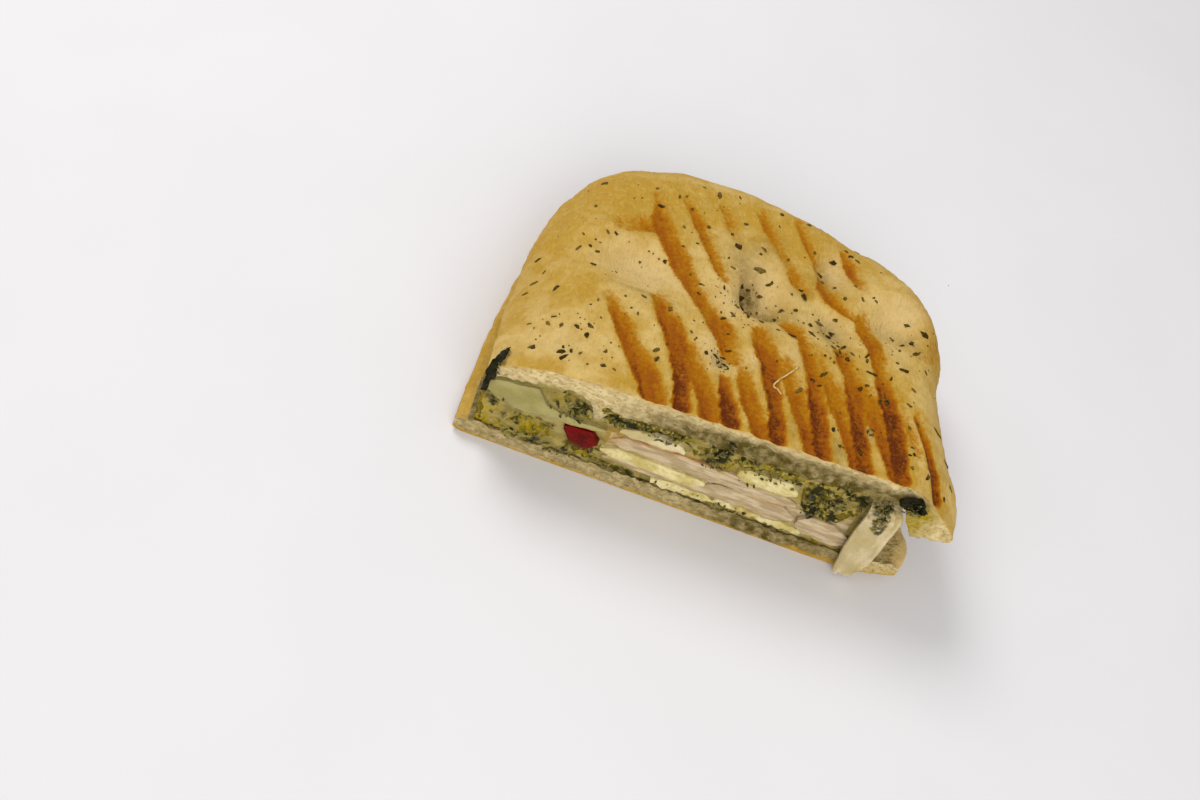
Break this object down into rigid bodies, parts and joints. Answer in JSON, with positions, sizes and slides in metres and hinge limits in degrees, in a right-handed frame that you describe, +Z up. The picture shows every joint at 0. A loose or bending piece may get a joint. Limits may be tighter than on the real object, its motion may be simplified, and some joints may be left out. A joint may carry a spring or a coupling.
{
  "type": "panini half",
  "caption": "Half of a grilled herb flatbread panini, cut straight across to show chicken, cheese, pesto and roasted pepper between two breads.",
  "frame": {"origin": "middle of the footprint, on the surface that the sandwich lies on", "axes": "+X along the cut, +Y from the cut face towards the rounded end of the loaf, +Z up through the layers"},
  "size_m": [0.1324, 0.1139, 0.0391],
  "materials": {
    "grilled_crust": "golden grilled flatbread crust with brown grill marks and dried herbs",
    "pesto": "oily chopped green pesto",
    "red_pepper": "moist roasted red pepper",
    "mozzarella": "soft, moist, slightly see-through white cheese",
    "cheese": "melted pale yellow cheese",
    "chicken": "cooked chicken breast cut across the grain",
    "basil": "dark wilted leaf"
  },
  "bodies": {
    "root": {"bread_top": "grilled_crust", "bread_bottom": "grilled_crust", "pesto_lower": "pesto", "pesto_upper": "pesto", "red_pepper": "red_pepper", "mozzarella_slice": "mozzarella", "cheese_lower": "cheese", "cheese_middle": "cheese", "cheese_white": "mozzarella", "cheese_yellow": "cheese", "cheese_melt": "mozzarella", "chicken_lower": "chicken", "chicken_upper": "chicken", "chicken_end": "chicken", "basil_leaf_left": "basil", "basil_leaf_right": "basil"}
  },
  "joints": []
}
